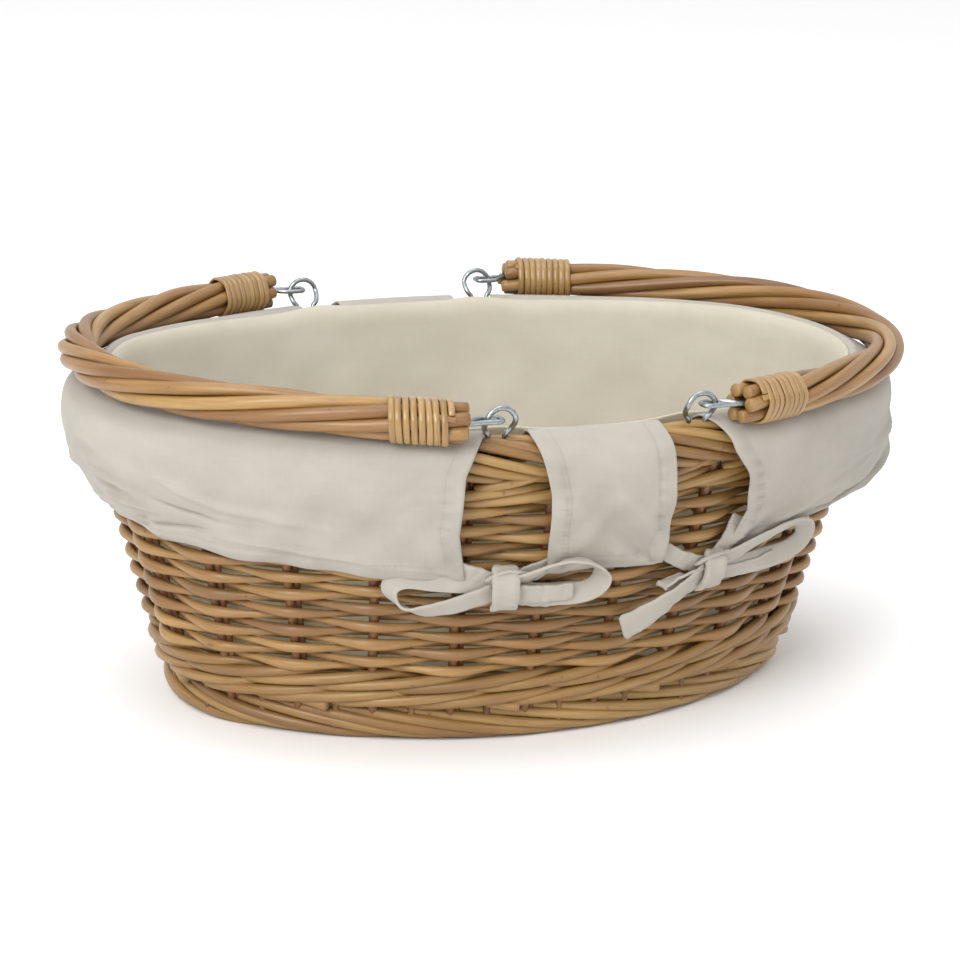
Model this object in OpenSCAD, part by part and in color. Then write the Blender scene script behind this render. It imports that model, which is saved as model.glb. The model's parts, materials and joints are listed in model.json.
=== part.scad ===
// Oval willow basket with a tied fabric lining and two swing handles.
// Millimetres. +Z is up, X runs along the basket's length, the origin is on the
// floor at the middle of the base. Every ring of the wall follows one
// four-centred oval, so a section is a flat profile (distance out from the
// rim's outer edge, height) swept round four arcs.

/* [Body] */
// Length of the willow rim, outside
rim_length = 456; // [300:1:600]
// Width of the willow rim, outside
rim_width = 330; // [220:1:440]
// Radius of the two end arcs of the rim
end_radius = 128; // [60:1:160]
// Height of the willow rim
rim_height = 177; // [120:1:260]
// Height of the top of the base waling
wale_top = 40; // [25:1:60]
// Slope of the wall, outward per unit of height
lean = 0.28; // [0:0.01:0.6]
// Number of side stakes
stake_count = 24; // [12:2:48]
// Side stake diameter
stake_d = 5.2; // [3:0.1:8]
// Number of woven rows in the siding
siding_rows = 19; // [8:1:30]

/* [Base] */
// Thickness of the woven base
base_t = 9; // [5:0.5:14]
// Diameter of the short base sticks
short_stick_d = 8; // [5:0.5:9]
// Diameter of the long base sticks
long_stick_d = 6; // [4:0.5:8]

/* [Handles] */
// Distance of each hinge axis from the middle
hinge_x = 55; // [30:1:120]
// Distance of the eyes from the lengthwise centre line
eye_y = 155; // [100:0.5:200]
// Height of the hinge axes
hinge_z = 187; // [150:0.5:260]
// Distance of the handle's middle line outside the rim's outer edge
handle_off = 3.5; // [0:0.5:12]
// Diameter of one handle rod
rod_d = 6.9; // [4:0.1:10]
// Number of rods round the core of a handle
rod_count = 6; // [4:1:8]
// Turns the rods make from one end of the handle to the other
rod_turns = 1.6; // [0:0.1:5]
// Length of a cane binding
binding_length = 32; // [15:1:60]
// Wire diameter of eyes and links
wire_d = 2.4; // [1.5:0.1:4]
// Inner half width of an eye
eye_r = 6.3; // [4:0.1:10]
// Half width of a link at the eye
link_r = 4.2; // [3:0.1:8]
// Length of a link from the eye to the rod ends
link_length = 20; // [12:1:40]

/* [Lining] */
// Fabric thickness
fabric_t = 1.2; // [0.5:0.1:3]
// Height of the hem of the skirts above the floor
hem_z = 98; // [60:1:140]

/* [Hidden] */
$fn = 64;
A = rim_length / 2;
B = rim_width / 2;
c = A - end_radius;
k = (c * c - pow(B - end_radius, 2)) / (2 * (B - end_radius));
side_radius = B + k;
J = atan2(k, c);
foot_top = 20;
wall_off = -44.8;
eps = 0.01;

// ---- The oval: arcs 0 right end, 1 back, 2 left end, 3 front ----
function arc_start(i) = i % 2 == 0 ? 90 * i - J : 90 * (i - 1) + J;
function arc_r(i) = i % 2 == 0 ? end_radius : side_radius;
function wrap(i) = (i + 8) % 4;
function arc_c(i) = wrap(i) == 0 ? [c, 0] : wrap(i) == 1 ? [0, -k] : wrap(i) == 2 ? [-c, 0] : [0, k];
function arc_at(a) = a < J ? 0 : a < 180 - J ? 1 : a < 180 + J ? 2 : a < 360 - J ? 3 : 4;
// Point of the oval, "off" outside the rim's outer edge, where the outward normal has angle a
function oval(a, off) = arc_c(arc_at(a)) + (arc_r(arc_at(a)) + off) * [cos(a), sin(a)];

// Sweep a profile (off, z) along the oval from normal angle a0 to a1
module sweep(a0, a1) {
    for (i = [-1:4]) {
        lo = max(a0, arc_start(i));
        hi = min(a1, arc_start(i + 1));
        if (hi > lo + eps)
            translate([arc_c(i)[0], arc_c(i)[1], 0])
                rotate([0, 0, lo])
                    rotate_extrude(angle = hi - lo)
                        translate([arc_r(i), 0])
                            children();
    }
}

module ring() {
    sweep(-J, 360 - J) children();
}

// ---- Section of the wall ----
// Middle of the wall thickness at height z
function mid(z) = wall_off + (z - wale_top) * lean;

// Stack of rounded rows between z0 and z1, h the half thickness
function row_side(z0, z1, n, h, s) = [for (j = [0:n - 1]) for (q = [0.04, 0.3, 0.7, 0.96])
    let (z = z0 + (z1 - z0) * (j + q) / n) [mid(z) + s * (q > 0.2 && q < 0.8 ? h : h - 1.1), z]];
function reverse(v) = [for (j = [len(v) - 1:-1:0]) v[j]];
module rows(z0, z1, n, h) {
    polygon(concat(row_side(z0, z1, n, h, 1), reverse(row_side(z0, z1, n, h, -1))));
}

// Rounded profile with a flat top and bottom
module roll(x, z, rx, rz) {
    polygon([for (t = [15:30:345]) [x + rx * cos(t), z + rz / cos(15) * sin(t)]]);
}

// ---- Stakes, evenly spaced round the oval ----
seg_e = (end_radius - 33) * 2 * J * PI / 180;
seg_s = (side_radius - 33) * (180 - 2 * J) * PI / 180;
total = 2 * (seg_e + seg_s);
function at_length(s) = s < seg_e / 2 ? s / (seg_e / 2) * J
    : s < seg_e / 2 + seg_s ? J + (s - seg_e / 2) / seg_s * (180 - 2 * J)
    : s < 3 * seg_e / 2 + seg_s ? 180 - J + (s - seg_e / 2 - seg_s) / seg_e * 2 * J
    : s < 3 * seg_e / 2 + 2 * seg_s ? 180 + J + (s - 3 * seg_e / 2 - seg_s) / seg_s * (180 - 2 * J)
    : 360 - J + (s - 3 * seg_e / 2 - 2 * seg_s) / (seg_e / 2) * J;
function stake_angle(j) = at_length(total * j / stake_count);

// Leaning rods on the stake line from z0 to z1
module stakes(z0, z1, d) {
    for (j = [0:stake_count - 1]) {
        a = stake_angle(j + 0.5);
        p = oval(a, mid(z0));
        translate([p[0], p[1], z0])
            rotate([0, atan(lean), a])
                cylinder(h = (z1 - z0) / cos(atan(lean)), d = d);
    }
}

// Upright rods that hold the foot border to the base waling
foot_off = -56.5;
module foot_rods(z0, z1, d) {
    for (j = [0:stake_count - 1]) {
        a = stake_angle(j);
        p = oval(a, foot_off + 5);
        translate([p[0], p[1], z0])
            cylinder(h = z1 - z0, d = d);
    }
}

// Twelve-sided holes that clear the rods
hole_clear = 0.1;
module stake_holes(z0, z1) {
    stakes(z0, z1, (stake_d + hole_clear) / cos(15), $fn = 12);
}
foot_rod_d = 4;
foot_rod_top = 24;
module foot_rod_holes() {
    foot_rods(6.9, foot_rod_top + hole_clear, (foot_rod_d + hole_clear) / cos(15), $fn = 12);
}

module side_stakes() color([0.66, 0.45, 0.24]) stakes(24, 166, stake_d);
module foot_stakes() color([0.66, 0.45, 0.24]) foot_rods(7, foot_rod_top, foot_rod_d);

module foot_border() color([0.68, 0.46, 0.25]) difference() {
    ring() roll(foot_off, foot_top / 2 - 0.1, 8.8, foot_top / 2 - 0.1);
    foot_rod_holes();
}

module lower_wale() color([0.72, 0.5, 0.28]) difference() {
    ring() rows(foot_top + 0.2, wale_top, 4, 7.8);
    stake_holes(23.9, 166);
    foot_rod_holes();
}

module siding() color([0.74, 0.52, 0.29]) difference() {
    ring() rows(wale_top + 0.3, 138.7, siding_rows, 7.2);
    stake_holes(20, 170);
}

module upper_wale() color([0.72, 0.5, 0.28]) difference() {
    ring() rows(139, 151.5, 2, 7.6);
    stake_holes(20, 170);
}

// The rolled border stands proud of the wall; its crest is the rim
module rim_border() color([0.7, 0.48, 0.26]) difference() {
    ring() roll(-11.5, (151.8 + rim_height) / 2, 11.9, (rim_height - 151.8) / 2);
    stake_holes(100, 166.1);
    eye_legs((wire_d + hole_clear) / cos(15), 160.9, $fn = 12);
}

// ---- Base ----
function plate(off) = [for (a = [-J / 2:3:359 - J / 2]) oval(a < 0 ? a + 360 : a, off)];
base_off = -60.2;
base_z = foot_top + 0.3;
module sticks(over) {
    zc = base_z + base_t / 2;
    for (x = [-128:32:128]) {
        y = (abs(x) < 100 ? 97 - x * x / 760 : 65 - (abs(x) - 100) * 0.6);
        translate([x, y, zc])
            rotate([90, 0, 0])
                cylinder(h = 2 * y, d = short_stick_d + over);
    }
    for (y = [-18:9:18])
        translate([-155, y, zc])
            rotate([0, 90, 0])
                cylinder(h = 310, d = long_stick_d + over);
}
module base_sticks() color([0.6, 0.42, 0.24]) sticks(0);
module base_weave() color([0.7, 0.49, 0.27]) difference() {
    translate([0, 0, base_z])
        linear_extrude(height = base_t)
            polygon(plate(base_off));
    sticks(0.06);
}

// ---- Wire eyes, one at each corner of the hinge axes ----
module eye_legs(d, z0) {
    for (sx = [-1, 1])
        for (sy = [-1, 1])
            for (q = [-1, 1])
                translate([sx * hinge_x + q * eye_r, sy * eye_y, z0])
                    cylinder(h = hinge_z - z0, d = d);
}
module rim_eyes() color([0.6, 0.62, 0.65]) {
    eye_legs(wire_d, 161);
    for (sx = [-1, 1])
        for (sy = [-1, 1])
            translate([sx * hinge_x, sy * eye_y, hinge_z])
                rotate([90, 0, 0])
                    rotate_extrude(angle = 180)
                        translate([eye_r, 0])
                            circle(d = wire_d);
}

// ---- Lining ----
module liner_floor() color([0.87, 0.85, 0.8])
    translate([0, 0, base_z + base_t + 0.5])
        linear_extrude(height = fabric_t)
            polygon(plate(-58.2));

lining_line = [[mid(31.6) - 9.4, 31.6], [mid(40.5) - 8.6, 40.5], [mid(149) - 8.6, 149],
    [-24.2, 158], [-23.9, 167]];
module liner_wall() color([0.87, 0.85, 0.8])
    ring()
        polygon(concat(lining_line, reverse([for (p = lining_line) p - [fabric_t, 0]])));

// Skirt: over the crest of the rim and down the outside, drawn in at the hem
skirt_in = [[-23.7, 168], [-20.2, 174.1], [-14.8, rim_height + 0.4], [-8.2, rim_height + 0.4],
    [-2.8, 174], [3.6, 168], [4.6, 156], [1.5, 136], [-10.3, 110], [-19.6, hem_z]];
skirt_out = [[-24.9, 168.4], [-21.1, 175.1], [-15.1, rim_height + 1.6], [-7.9, rim_height + 1.6],
    [-1.9, 174.9], [4.8, 168.3], [5.8, 156], [2.6, 135.5], [-9.3, 109.4], [-18.7, hem_z]];
module skirt(a0, a1)
    sweep(a0, a1)
        polygon(concat(skirt_in, reverse(skirt_out)));
slot_outer = 14;
slot_inner = 7.5;
module liner_skirt_left() color([0.82, 0.79, 0.75]) skirt(90 + slot_outer, 270 - slot_outer);
module liner_skirt_right() color([0.82, 0.79, 0.75]) skirt(slot_outer - 90, 90 - slot_outer);
module liner_skirt_front() color([0.82, 0.79, 0.75]) skirt(270 - slot_inner, 270 + slot_inner);
module liner_skirt_back() color([0.82, 0.79, 0.75]) skirt(90 - slot_inner, 90 + slot_inner);

// ---- Ties: each slot is closed by a bow made of two sewn-on strips ----
// Loop outline, l long and w wide, closed at the knot
function teardrop(l, w, g) = [for (t = [0:15:345])
    [g + (l - g) * (1 - cos(t)) / 2, w / 2 * sin(t) * pow((1 - cos(t)) / 2, 0.6)]];
module loop(l, w, turn) {
    rotate([90, 0, 0])
        rotate([0, 0, turn])
            linear_extrude(height = 3.2)
                difference() {
                    polygon(teardrop(l, w, 2));
                    translate([6, 0]) polygon(teardrop(l - 12, w - 12, 2));
                }
}
module tail(l, turn) {
    rotate([90, 0, 0])
        rotate([0, 0, turn])
            linear_extrude(height = 2.2)
                polygon([[3, -3.5], [l, -8], [l + 5, 6.5], [3, 4]]);
}
module knot() {
    translate([-7, -5.6, -8])
        cube([14, 5.2, 16]);
}
// Local frame of a tie: x along the wall, -y outward, z up the wall
module tie_frame(a, z) {
    p = oval(a, -16.4);
    translate([p[0], p[1], z])
        rotate([0, 0, a + 90])
            rotate([-12, 0, 0])
                children();
}
// The strip from the wide skirt makes the knot and the long loop
module strip_a() {
    knot();
    translate([-7.2, -0.9, 0]) mirror([1, 0, 0]) loop(46, 24, -14);
    translate([7.2, -4.3, -3]) tail(24, -14);
}
// The strip from the narrow panel makes the other loop
module strip_b() {
    translate([7.5, -0.9, 0]) loop(40, 22, -2);
    translate([-7.5, -4.3, -4]) mirror([1, 0, 0]) tail(20, -62);
}
tie_a = 10.6;
tie_z = 91;
module tie_front_left_outer() color([0.84, 0.81, 0.77])
    tie_frame(270 - tie_a, tie_z) strip_a();
module tie_front_left_inner() color([0.84, 0.81, 0.77])
    tie_frame(270 - tie_a, tie_z) strip_b();
module tie_front_right_outer() color([0.84, 0.81, 0.77])
    tie_frame(270 + tie_a, tie_z) mirror([1, 0, 0]) strip_a();
module tie_front_right_inner() color([0.84, 0.81, 0.77])
    tie_frame(270 + tie_a, tie_z) mirror([1, 0, 0]) strip_b();
module tie_back_right_outer() color([0.84, 0.81, 0.77])
    tie_frame(90 - tie_a, tie_z) strip_a();
module tie_back_right_inner() color([0.84, 0.81, 0.77])
    tie_frame(90 - tie_a, tie_z) strip_b();
module tie_back_left_outer() color([0.84, 0.81, 0.77])
    tie_frame(90 + tie_a, tie_z) mirror([1, 0, 0]) strip_a();
module tie_back_left_inner() color([0.84, 0.81, 0.77])
    tie_frame(90 + tie_a, tie_z) mirror([1, 0, 0]) strip_b();

// ---- Handles, drawn for the left one lying outward on the rim ----
// Normal angle of the rod ends, and of the far end of the links inside the bundle
handle_r = side_radius + handle_off;
end_a = asin((hinge_x + link_length) / handle_r);
core_a = end_a + 20 / handle_r * 180 / PI;
bind_a = end_a + 5 / handle_r * 180 / PI;
bind_span = binding_length / handle_r * 180 / PI;
module along(a0, a1)
    translate([0, 0, hinge_z])
        sweep(a0, a1)
            translate([handle_off, 0])
                children();

module handle_core() along(90 + core_a, 270 - core_a) circle(d = rod_d - 0.1);

// Rods laid round the core in a slow twist
steps = 36;
sides = 8;
len_s = handle_r * (90 - J - end_a);
len_e = (end_radius + handle_off) * 2 * J;
function path_a(t) = let (s = t * (2 * len_s + len_e))
    s < len_s ? 90 + end_a + s / handle_r
    : s < len_s + len_e ? 180 - J + (s - len_s) / (end_radius + handle_off)
    : 180 + J + (s - len_s - len_e) / handle_r;
function rod_point(r, t, q) = let (
    a = path_a(t),
    w = 360 * r / rod_count + 360 * rod_turns * t,
    g = 360 * q / sides,
    o = handle_off + rod_d * 1.015 * cos(w) + rod_d / 2 * cos(g + w),
    h = rod_d * 1.015 * sin(w) + rod_d / 2 * sin(g + w),
    p = oval(a, o)) [p[0], p[1], hinge_z + h];
module handle_rods()
    polyhedron(
        points = [for (r = [0:rod_count - 1]) for (i = [0:steps]) for (q = [0:sides - 1])
            rod_point(r, i / steps, q)],
        faces = concat(
            [for (r = [0:rod_count - 1]) for (i = [0:steps - 1]) for (q = [0:sides - 1]) for (h = [0, 1])
                let (b = r * (steps + 1) * sides + i * sides, n = (q + 1) % sides)
                h == 0 ? [b + q, b + n, b + sides + n] : [b + q, b + sides + n, b + sides + q]],
            [for (r = [0:rod_count - 1]) let (b = r * (steps + 1) * sides)
                [for (q = [sides - 1:-1:0]) b + q]],
            [for (r = [0:rod_count - 1]) let (b = (r * (steps + 1) + steps) * sides)
                [for (q = [0:sides - 1]) b + q]]
        ));

// Cane wound round the bundle: a thin sleeve with eight raised turns
module binding(a0) {
    along(a0, a0 + bind_span)
        difference() {
            circle(d = 23.9);
            circle(d = 21.4);
        }
    for (j = [0:7])
        along(a0 + bind_span * (j + 0.1) / 8, a0 + bind_span * (j + 0.9) / 8)
            difference() {
                circle(d = 24.8);
                circle(d = 22.6);
            }
}

// Flat-lying bent wire: a U whose closed end is the hinge pin, straight along the hinge
// axis inside the eye, and whose legs close up and run into the end of the bundle
wire_sides = 12;
pin_half = link_r - 3;
link_mouth = [-hinge_x - link_length, oval(90 + end_a, handle_off)[1]];
link_dir = [-cos(end_a), -sin(end_a)];
link_across = [-sin(end_a), cos(end_a)];
function link_leg(m) = concat(
    [link_mouth + 1.45 * m * link_across + 18 * link_dir,
        link_mouth + 1.45 * m * link_across + 9 * link_dir,
        link_mouth + 1.45 * m * link_across,
        [-hinge_x - link_r - 7, eye_y + m * link_r],
        [-hinge_x - link_r - 3, eye_y + m * link_r]],
    [for (t = [0:15:90]) [-hinge_x - 3 + 3 * sin(t), eye_y + m * (pin_half + 3 * cos(t))]]);
link_path = concat(link_leg(1), reverse(link_leg(-1)));
function unit(v) = v / norm(v);
function heading(p, i) = unit(p[min(i + 1, len(p) - 1)] - p[max(i - 1, 0)]);
module link()
    translate([0, 0, hinge_z])
        polyhedron(
            points = [for (i = [0:len(link_path) - 1]) for (q = [0:wire_sides - 1])
                let (u = heading(link_path, i), g = 360 * q / wire_sides, r = wire_d / 2)
                [link_path[i][0] + r * u[1] * cos(g), link_path[i][1] - r * u[0] * cos(g), r * sin(g)]],
            faces = concat(
                [for (i = [0:len(link_path) - 2]) for (q = [0:wire_sides - 1]) for (h = [0, 1])
                    let (b = i * wire_sides, n = (q + 1) % wire_sides)
                    h == 0 ? [b + q, b + n, b + wire_sides + n]
                        : [b + q, b + wire_sides + n, b + wire_sides + q]],
                [[for (q = [wire_sides - 1:-1:0]) q]],
                [[for (q = [0:wire_sides - 1]) (len(link_path) - 1) * wire_sides + q]]
            ));
module links() {
    link();
    mirror([0, 1, 0]) link();
}
module other_side()
    rotate([0, 0, 180]) children();

module left_handle_core() color([0.55, 0.36, 0.2]) handle_core();
module left_handle_rods() color([0.7, 0.46, 0.25]) handle_rods();
module left_handle_binding_front() color([0.82, 0.66, 0.42])
    binding(270 - bind_a - bind_span);
module left_handle_binding_back() color([0.82, 0.66, 0.42]) binding(90 + bind_a);
module left_handle_links() color([0.6, 0.62, 0.65]) links();
module right_handle_core() color([0.55, 0.36, 0.2]) other_side() handle_core();
module right_handle_rods() color([0.7, 0.46, 0.25]) other_side() handle_rods();
module right_handle_binding_front() color([0.82, 0.66, 0.42]) other_side() left_handle_binding_back();
module right_handle_binding_back() color([0.82, 0.66, 0.42]) other_side() left_handle_binding_front();
module right_handle_links() color([0.6, 0.62, 0.65]) other_side() links();

base_sticks();
base_weave();
foot_stakes();
foot_border();
lower_wale();
side_stakes();
siding();
upper_wale();
rim_border();
rim_eyes();
liner_floor();
liner_wall();
liner_skirt_left();
liner_skirt_right();
liner_skirt_front();
liner_skirt_back();
tie_front_left_outer();
tie_front_left_inner();
tie_front_right_outer();
tie_front_right_inner();
tie_back_left_outer();
tie_back_left_inner();
tie_back_right_outer();
tie_back_right_inner();
left_handle_core();
left_handle_rods();
left_handle_binding_front();
left_handle_binding_back();
left_handle_links();
right_handle_core();
right_handle_rods();
right_handle_binding_front();
right_handle_binding_back();
right_handle_links();
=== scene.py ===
"""Looks of an oval willow basket with a tied cotton lining and two swing handles.

Everything is in metres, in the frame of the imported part: +Z up, X along the basket,
the origin on the floor at the middle of the base. The willow is woven rod by rod round
the stakes, on the four-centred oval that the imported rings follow.
"""
import json
import math
import random

import bpy
import numpy as np
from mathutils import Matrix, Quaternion, Vector


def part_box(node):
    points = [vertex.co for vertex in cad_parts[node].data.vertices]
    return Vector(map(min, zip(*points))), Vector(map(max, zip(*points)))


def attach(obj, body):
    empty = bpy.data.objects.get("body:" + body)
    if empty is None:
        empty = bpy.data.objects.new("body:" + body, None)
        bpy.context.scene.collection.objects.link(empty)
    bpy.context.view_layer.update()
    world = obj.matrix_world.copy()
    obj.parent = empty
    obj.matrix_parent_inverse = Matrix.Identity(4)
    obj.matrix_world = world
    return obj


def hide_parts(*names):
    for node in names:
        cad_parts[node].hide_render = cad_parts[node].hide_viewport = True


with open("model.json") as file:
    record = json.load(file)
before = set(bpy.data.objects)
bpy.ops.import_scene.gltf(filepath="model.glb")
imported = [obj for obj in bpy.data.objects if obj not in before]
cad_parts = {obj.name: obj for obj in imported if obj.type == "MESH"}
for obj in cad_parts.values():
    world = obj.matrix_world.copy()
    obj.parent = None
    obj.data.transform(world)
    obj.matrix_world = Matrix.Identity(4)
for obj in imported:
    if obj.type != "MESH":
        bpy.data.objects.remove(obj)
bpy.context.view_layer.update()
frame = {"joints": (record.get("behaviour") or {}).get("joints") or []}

MM = 0.001
UP = np.array([0.0, 0.0, 1.0])
random.seed(7)
rng = np.random.default_rng(7)

# --- sizes
RIM_LOW, RIM_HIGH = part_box("rim_border")
HALF_LENGTH = (RIM_HIGH.x - RIM_LOW.x) / 2
HALF_WIDTH = (RIM_HIGH.y - RIM_LOW.y) / 2
RIM_Z = RIM_HIGH.z
END_RADIUS = 128 * MM
END_X = HALF_LENGTH - END_RADIUS
SIDE_Y = (END_X**2 - (HALF_WIDTH - END_RADIUS) ** 2) / (2 * (HALF_WIDTH - END_RADIUS))
SIDE_RADIUS = HALF_WIDTH + SIDE_Y
JOIN = math.atan2(SIDE_Y, END_X)

STAKES = 24
PER_STAKE = 11          # points of a woven rod from one stake to the next
STAKE_R = 2.6 * MM
WALE_TOP = 40 * MM
LEAN = 0.28             # outward per upward, of the wall
REF_OFF = -33 * MM      # line along which the way round is counted

HINGE = next(j for j in frame["joints"] if j["name"] == "left_handle_swing")["pos_m"]
HINGE_X, HINGE_Z = abs(HINGE[0]), HINGE[2]
EYE_LOW, EYE_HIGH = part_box("rim_eyes")
EYE_INSET = 1.2 * MM
HANDLE_OFF = 3.5 * MM
HANDLE_ROD_R = 3.45 * MM
MOUTH_X = HINGE_X + 20 * MM


# --- the oval
def arc_radius(a):
    """Radius of the oval's arc where the outward normal has angle a."""
    q = np.abs(np.mod(a + np.pi / 2, np.pi) - np.pi / 2)
    return np.where(q < JOIN, END_RADIUS, SIDE_RADIUS)


def arc_centre(a):
    """Centre of that arc."""
    q = np.abs(np.mod(a + np.pi / 2, np.pi) - np.pi / 2)
    end = q < JOIN
    x = np.where(end, END_X * np.sign(np.cos(a)), 0.0)
    y = np.where(end, 0.0, -SIDE_Y * np.sign(np.sin(a)))
    return x, y


ANGLES = np.linspace(0, 2 * np.pi, 14401)
_steps = (arc_radius((ANGLES[1:] + ANGLES[:-1]) / 2) + REF_OFF) * np.diff(ANGLES)
LENGTHS = np.concatenate([[0.0], np.cumsum(_steps)])
PERIMETER = LENGTHS[-1]
SHARES = LENGTHS / PERIMETER


def angle_at(share):
    """Normal angle at a share of the way round, counted at the wall's middle height."""
    share = np.asarray(share, float)
    turns = np.floor(share)
    return np.interp(share - turns, SHARES, ANGLES) + 2 * np.pi * turns


def share_at(a):
    a = np.asarray(a, float)
    turns = np.floor(a / (2 * np.pi))
    return np.interp(a - 2 * np.pi * turns, ANGLES, SHARES) + turns


def on_oval(a, off, z):
    """Points (n, 3) at normal angle a, off outside the rim's outer edge, at height z."""
    a, off, z = np.broadcast_arrays(np.asarray(a, float), off, z)
    x, y = arc_centre(a)
    r = arc_radius(a) + off
    return np.stack([x + r * np.cos(a), y + r * np.sin(a), z], -1)


def outward(a):
    a = np.asarray(a, float)
    return np.stack([np.cos(a), np.sin(a), np.zeros_like(a)], -1)


def wall_mid(z):
    """Offset of the middle of the wall's thickness at height z."""
    return -44.8 * MM + (np.asarray(z, float) - WALE_TOP) * LEAN


def smooth_closed(v, width):
    """Moving average of a closed row of values."""
    kernel = np.hanning(width + 2)[1:-1]
    kernel /= kernel.sum()
    pad = width
    return np.convolve(np.concatenate([v[-pad:], v, v[:pad]]), kernel, "same")[pad:-pad]


def wobble(s, amount, waves, seed):
    """Slow, repeatable unevenness along s (0 to 1 is once round)."""
    r = np.random.default_rng(seed)
    out = np.zeros_like(np.asarray(s, float))
    for w in waves:
        out += np.sin(2 * np.pi * (w * s + r.random())) * r.uniform(0.5, 1.0)
    return amount * out / len(waves)


def smooth_step(x, lo, hi):
    t = np.clip((np.asarray(x, float) - lo) / (hi - lo), 0, 1)
    return t * t * (3 - 2 * t)


def curve_through(points, count):
    """Catmull-Rom curve through the rows of points, as count evenly spaced rows."""
    p = np.asarray(points, float)
    p = np.vstack([2 * p[0] - p[1], p, 2 * p[-1] - p[-2]])
    fine = []
    for i in range(1, len(p) - 2):
        t = np.linspace(0, 1, 16, endpoint=i == len(p) - 3)[:, None]
        a, b, c, d = p[i - 1], p[i], p[i + 1], p[i + 2]
        fine.append(0.5 * (2 * b + (c - a) * t + (2 * a - 5 * b + 4 * c - d) * t**2
                           + (3 * b - a - 3 * c + d) * t**3))
    fine = np.vstack(fine)
    d = distances(fine[:, :3])
    at = np.linspace(0, d[-1], count)
    return np.stack([np.interp(at, d, fine[:, k]) for k in range(fine.shape[1])], -1)


def unit(v):
    return v / np.maximum(np.linalg.norm(v, axis=-1, keepdims=True), 1e-12)


def distances(path):
    """Distance along a path at each of its points."""
    return np.concatenate([[0], np.cumsum(np.linalg.norm(np.diff(path, axis=0), axis=1))])


def bell(x, width):
    """1 at x = 0, falling away to both sides."""
    return np.exp(-(x / width) ** 2)


def grid_faces(rows, columns, closed_rows, closed_columns):
    """Faces between the points of a grid, which are stored row by row."""
    i = np.arange(rows - (not closed_rows))[:, None]
    q = np.arange(columns - (not closed_columns))[None]
    near, far, beside = i * columns, (i + 1) % rows * columns, (q + 1) % columns
    return np.stack([near + q, near + beside, far + beside, far + q], -1).reshape(-1, 4)


def place_object(name, data):
    thing = bpy.data.objects.new(name, data)
    bpy.context.scene.collection.objects.link(thing)
    return thing


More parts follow.
